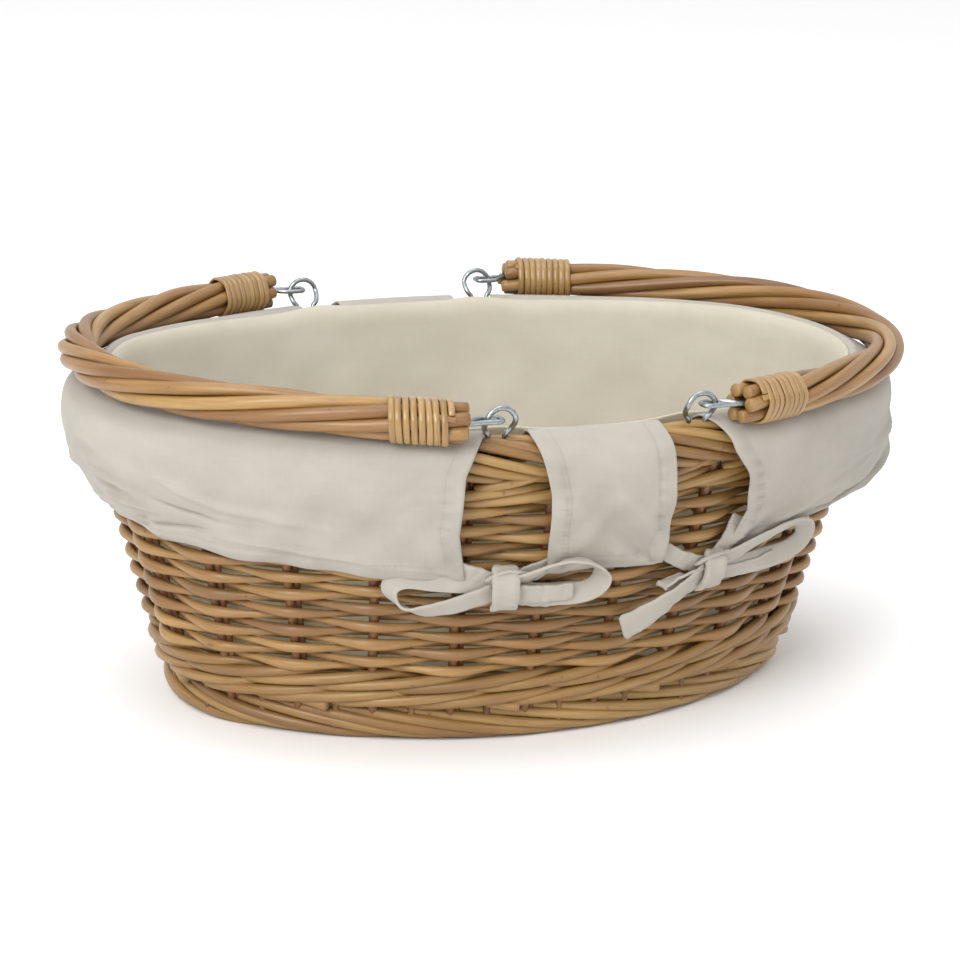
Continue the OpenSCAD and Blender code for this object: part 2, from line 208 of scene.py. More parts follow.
# --- mesh building
class Pieces:
    """Collects swept rods and sheets into one mesh, with the attributes the shaders read."""

    def __init__(self):
        self.co, self.faces, self.count = [], [], 0
        self.attributes = {"tone": [], "cut": [], "grain": []}

    def add(self, co, faces, tone, cut, grain):
        self.co.append(co)
        for f in faces:
            self.faces.extend((f + self.count).tolist())
        self.attributes["tone"].append(np.broadcast_to(tone, len(co)))
        self.attributes["cut"].append(np.broadcast_to(cut, len(co)))
        self.attributes["grain"].append(grain)
        self.count += len(co)

    def tube(self, path, radius, side=None, sides=10, tone=0.5, closed=False, flat=1.0, cap=0.35):
        """Round or flattened rod along path. side is the direction of the section's first
        axis; flat scales the section along it. Open ends get a slightly rounded cut face."""
        path = np.asarray(path, float)
        n = len(path)
        radius = np.broadcast_to(np.asarray(radius, float), n)
        if closed:
            tangent = unit(np.roll(path, -1, 0) - np.roll(path, 1, 0))
        else:
            tangent = unit(np.gradient(path, axis=0))
        if side is None:
            side = self.transport(tangent)
        side = np.broadcast_to(side, path.shape)
        across = unit(side - (side * tangent).sum(-1, keepdims=True) * tangent)
        other = np.cross(tangent, across)
        g = np.linspace(0, 2 * np.pi, sides, endpoint=False)
        cos, sin = np.cos(g)[None, :, None], np.sin(g)[None, :, None]
        r = radius[:, None, None]
        ring = path[:, None] + r * (across[:, None] * cos * flat + other[:, None] * sin)
        seed = rng.random(3) * 7
        grain = np.stack([np.repeat(distances(path)[:, None], sides, 1) + seed[0],
                          (r[..., 0] * cos[..., 0]) + seed[1],
                          (r[..., 0] * sin[..., 0]) + seed[2]], -1)
        co, grains, cut = [ring.reshape(-1, 3)], [grain.reshape(-1, 3)], np.zeros(n * sides)
        faces = [grid_faces(n, sides, closed, True)]
        if not closed:
            for k, sign in ((0, -1), (n - 1, 1)):
                out = sign * tangent[k] * radius[k] * cap
                co += [path[k] + (ring[k] - path[k]) * 0.8 + out * 0.5, (path[k] + out * 0.6)[None]]
                grains += [grain[k], grain[k].mean(0)[None]]
                lip = n * sides + (sign > 0) * (sides + 1)
                q1 = np.arange(sides)
                q2 = (q1 + 1) % sides
                if sign < 0:
                    q1, q2 = q2, q1
                faces += [np.stack([k * sides + q1, k * sides + q2, lip + q2, lip + q1], -1),
                          np.stack([lip + q1, lip + q2, np.full(sides, lip + sides)], -1)]
            cut = np.concatenate([cut, np.ones(2 * sides + 2)])
        self.add(np.vstack(co), faces, tone, cut, np.vstack(grains))

    @staticmethod
    def transport(tangent):
        """Section axis that turns as little as possible along the path."""
        first = UP
        if abs(tangent[0] @ first) > 0.9:
            first = np.array([1.0, 0.0, 0.0])
        axes = [unit(first - (first @ tangent[0]) * tangent[0])]
        for t in tangent[1:]:
            v = axes[-1] - (axes[-1] @ t) * t
            axes.append(unit(v))
        return np.array(axes)

    def sheet(self, grid, cut, grain, closed=False):
        """Sheet of cloth from a grid (rows, columns, 3)."""
        self.add(grid.reshape(-1, 3), [grid_faces(*grid.shape[:2], False, closed)], 0.5,
                 cut.reshape(-1), grain.reshape(-1, 3))

    def build(self, name, slot, replaces, body="basket"):
        mesh = bpy.data.meshes.new(name)
        mesh.from_pydata(np.vstack(self.co).tolist(), [], self.faces)
        for key, kind in (("tone", "FLOAT"), ("cut", "FLOAT"), ("grain", "FLOAT_VECTOR")):
            values = np.concatenate(self.attributes[key]).astype(np.float32)
            layer = mesh.attributes.new(key, kind, "POINT")
            layer.data.foreach_set("vector" if kind == "FLOAT_VECTOR" else "value", values.ravel())
        mesh.polygons.foreach_set("use_smooth", np.ones(len(mesh.polygons), bool))
        mesh.materials.append(MATERIALS[slot])
        mesh.update()
        piece = place_object(name, mesh)
        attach(piece, body)
        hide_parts(*replaces)
        return piece


# --- materials
class Shader:
    """Small helper for building a node tree."""

    def __init__(self, name):
        self.material = bpy.data.materials.new(name)
        self.material.use_nodes = True
        self.tree = self.material.node_tree
        self.tree.nodes.clear()
        self.join = self.tree.links.new
        self.out = self.node("OutputMaterial")
        self.bsdf = self.node("BsdfPrincipled")
        self.join(self.bsdf.outputs["BSDF"], self.out.inputs["Surface"])

    def node(self, kind, **inputs):
        node = self.tree.nodes.new("ShaderNode" + kind)
        for key, value in inputs.items():
            node.inputs[key].default_value = value
        return node

    def attribute(self, name):
        node = self.node("Attribute")
        node.attribute_name = name
        return node

    def math(self, operation, a, b=None, clamp=False):
        node = self.node("Math")
        node.operation = operation
        node.use_clamp = clamp
        for i, v in enumerate((a, b)):
            if v is None:
                continue
            if isinstance(v, (int, float)):
                node.inputs[i].default_value = v
            else:
                self.join(v, node.inputs[i])
        return node.outputs[0]

    def scaled(self, source, scale):
        node = self.node("Mapping")
        node.inputs["Scale"].default_value = scale
        self.join(source, node.inputs["Vector"])
        return node.outputs[0]

    def noise(self, vector, scale=1.0, detail=3.0, roughness=0.55):
        node = self.node("TexNoise", Scale=scale, Detail=detail, Roughness=roughness)
        self.join(vector, node.inputs["Vector"])
        return node.outputs["Fac"]

    def ramp(self, fac, stops):
        node = self.node("ValToRGB")
        elements = node.color_ramp.elements
        while len(elements) < len(stops):
            elements.new(0.5)
        for element, (position, colour) in zip(elements, stops):
            element.position = position
            element.color = (*colour, 1)
        self.join(fac, node.inputs["Fac"])
        return node.outputs["Color"]

    def mix(self, fac, a, b, mode="MIX"):
        node = self.node("Mix")
        node.data_type = "RGBA"
        node.blend_type = mode
        for socket, v in ((node.inputs[0], fac), (node.inputs[6], a), (node.inputs[7], b)):
            if isinstance(v, (int, float)):
                socket.default_value = v
            elif isinstance(v, tuple):
                socket.default_value = (*v, 1)
            else:
                self.join(v, socket)
        return node.outputs[2]

    def bump(self, height, distance, strength=1.0):
        node = self.node("Bump", Distance=distance, Strength=strength)
        self.join(height, node.inputs["Height"])
        self.join(node.outputs["Normal"], self.bsdf.inputs["Normal"])

    def to_socket(self, value, socket):
        self.join(value, self.bsdf.inputs[socket])


def srgb(r, g, b):
    """Linear colour from 0-255 display values."""
    return tuple((v / 255 / 12.92) if v / 255 <= 0.04045 else ((v / 255 + 0.055) / 1.055) ** 2.4
                 for v in (r, g, b))


def willow(name, dark, middle, light, roughness=0.42, coat=0.12):
    """Peeled, boiled willow: each rod has its own tone, streaked along its length."""
    dark, middle, light = srgb(*dark), srgb(*middle), srgb(*light)
    s = Shader(name)
    grain = s.attribute("grain").outputs["Vector"]
    tone = s.attribute("tone").outputs["Fac"]
    patches = s.noise(s.scaled(grain, (14, 60, 60)), 1.0, 2.0)
    streaks = s.noise(s.scaled(grain, (45, 900, 900)), 1.0, 4.0, 0.65)
    fine = s.noise(s.scaled(grain, (160, 2600, 2600)), 1.0, 3.0)
    level = s.math("ADD", s.math("MULTIPLY", tone, 0.62), s.math("MULTIPLY", patches, 0.6))
    level = s.math("SUBTRACT", level, 0.12)
    base = s.ramp(level, [(0.0, dark), (0.45, middle), (1.0, light)])
    streaked = s.mix(s.math("MULTIPLY", s.math("SUBTRACT", streaks, 0.42, True), 1.5, True),
                     base, dark, "MIX")
    spots = s.math("GREATER_THAN", s.noise(s.scaled(grain, (210, 260, 260)), 1.0, 1.0), 0.77)
    marked = s.mix(s.math("MULTIPLY", spots, 0.45), streaked, (dark[0] * 0.5, dark[1] * 0.45, dark[2] * 0.4))
    cut = s.attribute("cut").outputs["Fac"]
    ends = s.mix(fine, tuple(0.55 * c for c in middle), tuple(0.85 * c for c in light))
    s.to_socket(s.mix(cut, marked, ends), "Base Color")
    s.to_socket(s.math("ADD", s.math("MULTIPLY", streaks, 0.22), roughness - 0.1), "Roughness")
    s.bsdf.inputs["Coat Weight"].default_value = coat
    s.bsdf.inputs["Coat Roughness"].default_value = 0.35
    s.bump(s.math("ADD", streaks, s.math("MULTIPLY", fine, 0.5)), 0.25 * MM, 0.6)
    return s.material


def galvanised(name):
    s = Shader(name)
    place = s.node("TexCoord").outputs["Object"]
    spangle = s.noise(place, 900.0, 2.0)
    dull = s.noise(place, 160.0, 3.0)
    s.to_socket(s.ramp(spangle, [(0.3, (0.22, 0.24, 0.255)), (0.7, (0.42, 0.45, 0.47))]), "Base Color")
    s.to_socket(s.math("ADD", s.math("MULTIPLY", dull, 0.3), 0.2), "Roughness")
    s.bsdf.inputs["Metallic"].default_value = 1.0
    s.bump(dull, 0.12 * MM, 0.5)
    return s.material


def cotton(name, colour, shade, seam_at=11 * MM, thin=0.3):
    """Plain woven cotton. The grain attribute holds the cloth's own coordinates, and cut
    holds the distance from the nearest hem, for its stitch line."""
    s = Shader(name)
    cloth = s.attribute("grain").outputs["Vector"]
    split = s.node("SeparateXYZ")
    s.join(cloth, split.inputs[0])
    u, v = split.outputs["X"], split.outputs["Y"]
    pitch = 0.62 * MM
    warp = s.math("SINE", s.math("MULTIPLY", u, 2 * math.pi / pitch))
    weft = s.math("SINE", s.math("MULTIPLY", v, 2 * math.pi / pitch))
    weave = s.math("MULTIPLY", warp, weft)
    slub_u = s.noise(s.scaled(cloth, (1500, 45, 1)), 1.0, 2.0)
    slub_v = s.noise(s.scaled(cloth, (45, 1500, 1)), 1.0, 2.0)
    slub = s.math("ADD", slub_u, slub_v)
    creases = s.noise(s.scaled(cloth, (26, 40, 1)), 1.0, 4.0, 0.6)
    # Painted shade: where the crease noise makes hollows in the bump, it also darkens the colour towards shade. The
    # slub adds the yarn's own unevenness.
    slub_and_crease_shade = s.math("ADD", s.math("MULTIPLY", slub, 0.2), s.math("MULTIPLY", creases, 0.85))
    base = s.ramp(slub_and_crease_shade, [(0.35, shade), (0.85, colour)])
    hem = s.attribute("cut").outputs["Fac"]
    across = s.math("ABSOLUTE", s.math("SUBTRACT", hem, seam_at))
    on_line = s.math("LESS_THAN", across, 0.45 * MM)
    dashes = s.math("LESS_THAN", s.math("FRACT", s.math("MULTIPLY", split.outputs["Z"], 1 / (3.2 * MM))), 0.7)
    stitch = s.math("MULTIPLY", on_line, dashes)
    s.to_socket(s.mix(s.math("MULTIPLY", stitch, 0.22), base, (shade[0] * 0.7, shade[1] * 0.7, shade[2] * 0.68)),
                "Base Color")
    s.bsdf.inputs["Roughness"].default_value = 0.9
    s.bsdf.inputs["Sheen Weight"].default_value = 0.25
    s.bsdf.inputs["Sheen Roughness"].default_value = 0.5
    height = s.math("ADD", s.math("MULTIPLY", weave, 0.1), s.math("MULTIPLY", slub, 0.16))
    height = s.math("ADD", height, s.math("MULTIPLY", creases, 3.2))
    height = s.math("SUBTRACT", height, s.math("MULTIPLY", stitch, 1.2))
    s.bump(height, 0.35 * MM, 0.7)
    through = s.node("BsdfTranslucent")
    through.inputs["Color"].default_value = (*colour, 1)
    both = s.node("MixShader")
    both.inputs["Fac"].default_value = thin
    s.join(s.bsdf.outputs["BSDF"], both.inputs[1])
    s.join(through.outputs["BSDF"], both.inputs[2])
    s.join(both.outputs["Shader"], s.out.inputs["Surface"])
    return s.material


WILLOWS = {
    "willow_siding": ((92, 59, 31), (144, 107, 58), (186, 149, 90)),
    "willow_wale": ((88, 57, 29), (138, 103, 55), (178, 144, 87)),
    "willow_border": ((86, 55, 29), (140, 104, 56), (180, 146, 88)),
    # Painted shade: the stakes' willow is darker than the siding's, standing in for the shade they sit in behind the
    # rods.
    "willow_stakes": ((84, 52, 34), (124, 84, 55), (154, 112, 78)),
    "willow_base": ((92, 60, 36), (146, 108, 70), (180, 144, 100)),
    "willow_handle": ((84, 52, 26), (132, 92, 46), (182, 146, 86), 0.38, 0.2),
    "cane_binding": ((96, 66, 34), (142, 108, 60), (190, 156, 102), 0.3, 0.35),
}
MATERIALS = {name: willow(name, *look) for name, look in WILLOWS.items()}
MATERIALS["galvanised_wire"] = galvanised("galvanised_wire")
# Painted light: the lining gets a brighter cotton than the skirts, to make up for the shade the walls cast inside the
# basket.
MATERIALS["lining_cotton"] = cotton("lining_cotton", srgb(229, 224, 209), srgb(214, 208, 191), thin=0.42)
MATERIALS["skirt_cotton"] = cotton("skirt_cotton", srgb(198, 192, 182), srgb(178, 172, 161))
MATERIALS["tie_cotton"] = cotton("tie_cotton", srgb(200, 194, 184), srgb(182, 176, 165), -1.0)


# --- wall
SAMPLES = STAKES * PER_STAKE
SHARE = np.arange(SAMPLES) / SAMPLES
RING_ANGLE = angle_at(SHARE)
RING_OUT = outward(RING_ANGLE)
SIDING_Z = (40.3 * MM, 138.8 * MM)
SIDING_ROWS = 19
WEAVE_DEPTH = 4.75 * MM   # how far a rod swings out from and in behind the wall's middle
ARCH = 0.96               # how pointed a rod's bend round a stake is, up to 1


def weave_siding():
    """Randing: each rod passes before one stake and behind the next, the next row the
    other way. Rods bend round the stakes, swell there and thin out as they dive between
    their neighbours; a new rod starts behind a stake where the last one ends."""
    rods = Pieces()
    low, high = SIDING_Z
    pitch = (high - low) / SIDING_ROWS
    for row in range(SIDING_ROWS):
        behind = [k for k in range(STAKES) if (k + row) % 2 == 1]
        cuts = sorted({behind[(3 * row + 1) % 12], behind[(3 * row + 5) % 12], behind[(3 * row + 9) % 12]})
        tone_row = rng.random()
        for i, first in enumerate(cuts):
            last = cuts[(i + 1) % len(cuts)]
            last += STAKES if last <= first else 0
            n = (last - first) * PER_STAKE
            t = np.linspace(0, 1, n)
            share = (first + 0.5 + (last - first) * t) / STAKES
            end = np.clip(np.minimum(t, 1 - t) * n / 5, 0, 1)
            wave = np.cos(np.pi * (share * STAKES - 0.5) + np.pi * row)
            bent = np.arcsin(ARCH * wave) / np.arcsin(ARCH)
            level = (row + 0.5) / SIDING_ROWS
            bulge = np.sin(np.pi * level)
            z = low + (high - low) * level + bulge * (
                wobble(share, 2.4 * MM, (2, 3, 5), 3) + wobble(share, 0.7 * MM, (6, 9, 14), 40 + row))
            z += pitch * 0.16 * (1 - end) * np.where(t < 0.5, -1, 1)
            swell = np.abs(wave) ** 1.4
            radius = (2.0 + 1.1 * swell) * MM * (1.09 - 0.17 * t) * (1 + wobble(share, 0.05, (5, 9, 13), 90 + row))
            off = wall_mid(z) + WEAVE_DEPTH * (0.55 * bent + 0.45 * wave) - 1.2 * MM * (1 - end)
            angle = angle_at(share)
            tone = np.clip(0.30 * tone_row + 0.62 * rng.random(), 0, 1)
            rods.tube(on_oval(angle, off, z), radius, outward(angle), 10, tone, flat=0.84)
    rods.build("woven_siding", "willow_siding", ["siding"])


def wale(rods, z_mid, radius, shift, seed):
    """One round of three-rod waling: each rod passes before two stakes and behind one,
    rising as it comes forward, and the three follow each other round."""
    for rod in range(3):
        p = np.mod((SHARE * STAKES + rod + shift) / 3, 1)
        front = p < 2 / 3
        out = np.where(front, np.sin(np.pi * p * 1.5), -np.sin(np.pi * (p - 2 / 3) * 3))
        out = np.sign(out) * np.abs(out) ** 0.7
        rise = np.where(front, 3 * p - 1, 1 - 6 * (p - 2 / 3))
        out, rise = smooth_closed(out, 5), smooth_closed(rise, 7)
        z = z_mid + rise * 4.6 * MM + wobble(SHARE, 0.6 * MM, (2, 5, 9), seed + rod)
        off = wall_mid(z_mid) + 5.0 * MM * out + (z - z_mid) * LEAN
        r = radius * (1 + wobble(SHARE, 0.09, (1, 3, 7), seed + 9 + rod))
        rods.tube(on_oval(RING_ANGLE, off, z), r, RING_OUT, 10, 0.35 + 0.55 * rng.random(), closed=True)


def weave_wales():
    rods = Pieces()
    wale(rods, 25.4 * MM, 2.9 * MM, 0.0, 200)
    wale(rods, 34.9 * MM, 2.9 * MM, 1.3, 230)
    rods.build("woven_lower_wale", "willow_wale", ["lower_wale"])
    rods = Pieces()
    wale(rods, 145.2 * MM, 2.8 * MM, 0.6, 260)
    rods.build("woven_upper_wale", "willow_wale", ["upper_wale"])


def set_stakes():
    """A stake at each place and a thinner bye-stake beside most of them, from the base up into the border."""
    rods = Pieces()
    for j in range(STAKES):
        for radius, aside in ((STAKE_R, 0.0), (1.7 * MM, 4.1 * MM)):
            if aside and (j * 5) % 7 > 4:
                continue
            share = (j + 0.5) / STAKES + aside / PERIMETER
            z = np.linspace(15 * MM, 167 * MM, 20)
            a = angle_at(np.full(20, share)) + wobble(z / 0.18, 0.004, (1, 2), 300 + j)
            off = wall_mid(z) - 0.25 * aside + wobble(z / 0.18, 0.3 * MM, (1, 2, 3), 340 + j)
            rods.tube(on_oval(a, off, z), radius, outward(a), 8, 0.2 + 0.5 * rng.random())
    rods.build("willow_side_stakes", "willow_stakes", ["side_stakes"])


def roll_border(rods, count, travel, centre, size, turn, radius, points, seed, tone=0.2, loose=1.0):
    """Rods laid round a roll: each starts at one side of the section and winds to the
    other while it travels along the rim, so they lie aslant beside each other."""
    r = np.random.default_rng(seed)
    for j in range(count):
        t = np.linspace(0, 1, points)
        share = (j + loose * r.uniform(-0.12, 0.12)) / count + t * travel
        theta = np.radians(turn[0] + (turn[1] - turn[0]) * t) + r.uniform(-0.06, 0.06)
        off = centre[0] + size[0] * np.cos(theta) * (1 + r.uniform(-0.05, 0.05))
        z = centre[1] + size[1] * np.sin(theta) * (1 + r.uniform(-0.03, 0.03))
        a = angle_at(share)
        path = on_oval(a, off, z)
        rad = radius * r.uniform(0.9, 1.1) * (1.06 - 0.2 * t)
        rods.tube(path, rad, outward(a), 9, tone + 0.75 * r.random())


def weave_rim():
    rods = Pieces()
    border_low = 151.8 * MM
    centre = (-11.6 * MM, (border_low + RIM_Z) / 2)
    size = (8.7 * MM, (RIM_Z - border_low) / 2 - 2.9 * MM)
    roll_border(rods, 48, 0.165, centre, size, (205, -75), 3.05 * MM, 30, 5)
    for j in range(STAKES):
        t = np.linspace(0, 1, 12)
        a = angle_at((j + 0.62) / STAKES + 0.05 * t)
        z = 149 * MM + 14 * MM * t
        off = -12.0 * MM + 5.5 * MM * np.sin(np.pi * np.clip(t * 1.15, 0, 1))
        rods.tube(on_oval(a, off, z), 2.6 * MM, outward(a), 8, 0.3 + 0.6 * rng.random())
    rods.build("woven_rim_border", "willow_border", ["rim_border"])


FOOT_OFF = -56.5 * MM


def weave_foot():
    rods = Pieces()
    foot_low, foot_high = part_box("foot_border")
    centre = (FOOT_OFF, (foot_low.z + foot_high.z) / 2)
    size = (6.0 * MM, (foot_high.z - foot_low.z) / 2 - 2.95 * MM)
    roll_border(rods, 27, 0.225, centre, size, (116, -150), 3.0 * MM, 38, 6, loose=2.0)
    for j in range(12):
        share = (j + 0.35 + 0.2 * math.sin(5 * j)) / 12
        t = np.linspace(0, 1, 6)
        a = angle_at(share + t * 0.016)
        rods.tube(on_oval(a, FOOT_OFF + 7.5 * MM + 4.0 * MM * t, 22.0 * MM - 2.0 * MM * t), 3.2 * MM, outward(a), 9,
                  0.4 + 0.3 * rng.random())
    for j in range(STAKES):
        share = j / STAKES
        z = np.linspace(6 * MM, 28 * MM, 6)
        a = angle_at(np.full(6, share))
        rods.tube(on_oval(a, FOOT_OFF + 5 * MM + 0 * z, z), 2.0 * MM, outward(a), 8, 0.3 * rng.random())
    rods.build("woven_foot_border", "willow_border", ["foot_border", "foot_stakes"])


# --- base
BASE_LOW, BASE_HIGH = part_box("base_weave")
BASE_Z = (BASE_LOW.z + BASE_HIGH.z) / 2
BASE_OFF = -60.2 * MM
STICK_GAP = 24 * MM
SHORT_X = np.arange(-4, 5) * STICK_GAP
BASE_SWING = 3.1 * MM     # up over and down under the sticks
LONG_REACH = 108 * MM
FAN = np.radians([-52, -26, 0, 26, 52])


def lay_base():
    sticks = Pieces()
    for x in SHORT_X:
        y = math.sqrt((SIDE_RADIUS + BASE_OFF) ** 2 - x**2) - SIDE_Y - 3 * MM
        t = np.linspace(-1, 1, 16)
        path = np.stack([x + wobble(t, 0.4 * MM, (1, 2), 410), t * y, np.full(16, BASE_Z)], -1)
        sticks.tube(path, 4.0 * MM, UP, 10, 0.2 + 0.5 * rng.random(), flat=0.8)
    for i, a in enumerate(FAN):
        y0 = (i - 2) * 9 * MM
        reach = END_RADIUS + BASE_OFF - 3 * MM
        tip = (END_X + reach * math.cos(a), reach * math.sin(a))
        points = [[-tip[0], tip[1], BASE_Z], [-END_X, tip[1] * 0.45 + y0 * 0.4, BASE_Z], [-70 * MM, y0, BASE_Z],
                  [70 * MM, y0, BASE_Z], [END_X, tip[1] * 0.45 + y0 * 0.4, BASE_Z], [tip[0], tip[1], BASE_Z]]
        sticks.tube(curve_through(points, 40), 2.9 * MM, UP, 10, 0.2 + 0.5 * rng.random())
    sticks.build("willow_base_sticks", "willow_base", ["base_sticks"])
    rods = Pieces()
    pitch = 5.4 * MM
    rows = int((END_RADIUS + BASE_OFF) / pitch)
    for row in range(rows):
        off = BASE_OFF - 2.9 * MM - row * pitch
        side_r = SIDE_RADIUS + off
        short = np.arccos(SHORT_X[::-1] / side_r)
        crossings = np.concatenate([FAN[2:], short, math.pi + FAN, math.pi + short, 2 * math.pi + FAN[:2]])
        wide = np.concatenate([crossings[-1:] - 2 * math.pi, crossings, crossings[:1] + 2 * math.pi])
        phase = np.interp(RING_ANGLE, wide, np.arange(-1, len(crossings) + 1))
        z = BASE_Z + BASE_SWING * np.cos(math.pi * (phase + row)) + wobble(SHARE, 0.3 * MM, (3, 7), 430 + row)
        path = on_oval(RING_ANGLE, off + wobble(SHARE, 0.4 * MM, (3, 5), 450 + row), z)
        rods.tube(path, 2.55 * MM, UP, 8, 0.3 + 0.5 * rng.random(), closed=True, flat=0.75)
    inner_y = HALF_WIDTH + BASE_OFF - 2.9 * MM - rows * pitch
    lines = int((inner_y - 20 * MM) / pitch) + 1
    for row in range(lines):
        for sign in (-1, 1):
            x = np.linspace(-LONG_REACH + row * 6 * MM, LONG_REACH - row * 6 * MM, 90)
            z = BASE_Z + BASE_SWING * np.cos(math.pi * (x / STICK_GAP + row + rows))
            y = sign * ((inner_y - row * pitch) - 9 * MM * (x / LONG_REACH) ** 4)
            rods.tube(np.stack([x, y, z], -1), 2.5 * MM, UP, 8, 0.3 + 0.5 * rng.random(),
                      flat=0.75)
    rods.build("woven_base", "willow_base", ["base_weave"])


# --- wire eyes
def bend_eyes():
    """Each eye is a loop of wire whose two legs close up, bend in over the rim and run down
    inside the border and the upper wale."""
    rods = Pieces()
    wire, r = 1.4 * MM, 8.0 * MM
    depth = EYE_LOW.z - HINGE_Z
    for sx in (-1, 1):
        for y in (EYE_LOW.y + EYE_INSET, EYE_HIGH.y - EYE_INSET):
            inward = -math.copysign(1.0, y)
            t = np.radians(np.linspace(-50, 230, 29))
            drop = 2.2 * MM - r * np.sin(t)
            loop = np.stack([r * np.cos(t), 5.2 * MM * smooth_step(drop, -1 * MM, 8 * MM), -drop], -1)
            leg = np.array([[3.9 * MM, 7.0 * MM, depth], [3.9 * MM, 7.0 * MM, -20 * MM], [4.0 * MM, 6.8 * MM, -15 * MM],
                            [4.4 * MM, 6.2 * MM, -11 * MM]])
            flat = np.vstack([leg, loop, (leg * [-1, 1, 1])[::-1]])
            path = np.stack([sx * HINGE_X + flat[:, 0], y + inward * flat[:, 1], HINGE_Z + flat[:, 2]], -1)
            rods.tube(curve_through(path, 96), wire, np.array([0.0, 1.0, 0.0]), 12, 0.5)
    rods.build("wire_rim_eyes", "galvanised_wire", ["rim_eyes"])


# --- handles
HANDLE_R = SIDE_RADIUS + HANDLE_OFF
BUNDLE_R = 7.0 * MM       # from a handle's middle to the middle of each rod
TWIST = 1.6               # turns of the rods from end to end
MOUTH_A = math.asin(MOUTH_X / HANDLE_R)
HANDLE_SIDE = HANDLE_R * (math.pi / 2 - JOIN - MOUTH_A)
HANDLE_END = (END_RADIUS + HANDLE_OFF) * 2 * JOIN
HANDLE_LENGTH = 2 * HANDLE_SIDE + HANDLE_END


def handle_line(t):
    """Normal angle along a left handle, t from 0 (back end) to 1 (front end)."""
    s = t * HANDLE_LENGTH
    front = HANDLE_SIDE + HANDLE_END
    a = np.where(s < HANDLE_SIDE, np.pi / 2 + MOUTH_A + s / HANDLE_R,
                 np.pi - JOIN + (s - HANDLE_SIDE) / (END_RADIUS + HANDLE_OFF))
    return np.where(s > front, np.pi + JOIN + (s - HANDLE_SIDE - HANDLE_END) / HANDLE_R, a)


def handle_centre(t, sign):
    """Offset and height of the middle of a handle. The left one has slid in a little and
    rides on the rim, the right one sags against it."""
    reach = np.sin(np.pi * np.clip(t, 0, 1)) ** 0.8
    inward, lift = (6.0, 4.5) if sign > 0 else (2.0, -1.5)
    sunk = smooth_step(-np.asarray(t), -0.5, -0.18) if sign > 0 else 0.0
    return HANDLE_OFF - (inward + 2.0 * sunk) * MM * reach, HINGE_Z + (lift - 4.2 * sunk) * MM * reach


def turned(points, sign):
    """The left handle's points, or the right handle's, half a turn round."""
    return points * np.array([sign, sign, 1.0])


def twist_handle(name, sign):
    rods = Pieces()
    n = 130
    seed = 500 if sign > 0 else 520
    for rod in range(6):
        first, last = (random.uniform(-1.5, 2.5) * MM / HANDLE_LENGTH for _ in range(2))
        t = np.linspace(-first, 1 + last, n)
        a = handle_line(t)
        off, z = handle_centre(t, sign)
        w = 2 * np.pi * (rod / 6 + TWIST * t) + wobble(t, 0.16, (1, 2, 3), seed + rod)
        r = BUNDLE_R * (1 + wobble(t, 0.06, (2, 3, 5), seed + 8 + rod))
        path = on_oval(a, off + r * np.cos(w), z + r * np.sin(w))
        radius = HANDLE_ROD_R * (1.0 + wobble(t, 0.07, (1, 2, 4), seed + 16 + rod))
        rods.tube(turned(path, sign), radius, None, 12, 0.1 + 0.85 * rng.random())
    body = name + "_handle"
    rods.build(name + "_twisted_rods", "willow_handle", [name + "_handle_rods"], body)
    core = Pieces()
    t = np.linspace(0.045, 0.955, 90)
    core.tube(turned(on_oval(handle_line(t), *handle_centre(t, sign)), sign), 3.4 * MM, None, 10, 0.3)
    core.build(name + "_core_rod", "willow_handle", [name + "_handle_core"], body)
    for where, t0 in zip(("back", "front")[::sign], (0, 1)):
        wind_binding(name, where, sign, t0)


def around_bundle(t, w, r, sign):
    """Points at angle w and distance r round the middle of a handle, and the outward way."""
    a = handle_line(t)
    off, z = handle_centre(t, sign)
    section = outward(a) * np.cos(w)[:, None] + UP * np.sin(w)[:, None]
    path = on_oval(a, off, z) + section * np.asarray(r)[..., None]
    return turned(path, sign), section * np.array([sign, sign, 1.0])


def wind_binding(name, where, sign, t0):
    """Split cane wound round the rod ends: close turns, and the tail tucked under."""
    cane = Pieces()
    start, span, turns = 8 * MM / HANDLE_LENGTH, 31 * MM / HANDLE_LENGTH, 8.6
    n = int(turns * 26)
    u = np.linspace(0, 1, n)
    drift = wobble(u, 0.017, (2, 5, 7, 9), 560 + len(where) + (3 if sign > 0 else 0))
    t = start + span * (u + drift)
    t = t if t0 == 0 else 1 - t
    w = 2 * np.pi * turns * u + 0.6
    r = 11.15 * MM + 0.30 * MM * np.sin(6 * w + 0.8) + wobble(u, 0.25 * MM, (3, 8, 13), 570)
    path, side = around_bundle(t, w, r, sign)
    cane.tube(path, 1.75 * MM * (1 + wobble(u, 0.07, (5, 9, 17), 575)), side, 10, 0.45 + 0.3 * rng.random(), flat=0.5)
    for angle in (0.4, 2.3, 4.6):
        u = np.linspace(-0.06, 0.3, 10)
        t = start + span * u
        t = t if t0 == 0 else 1 - t
        path, side = around_bundle(t, angle + 0.3 * u, np.full(10, 10.6 * MM), sign)
        cane.tube(path, 1.6 * MM, side, 8, 0.4 + 0.3 * rng.random(), flat=0.35)
    cane.build(f"{name}_cane_binding_{where}", "cane_binding", [f"{name}_handle_binding_{where}"], name + "_handle")


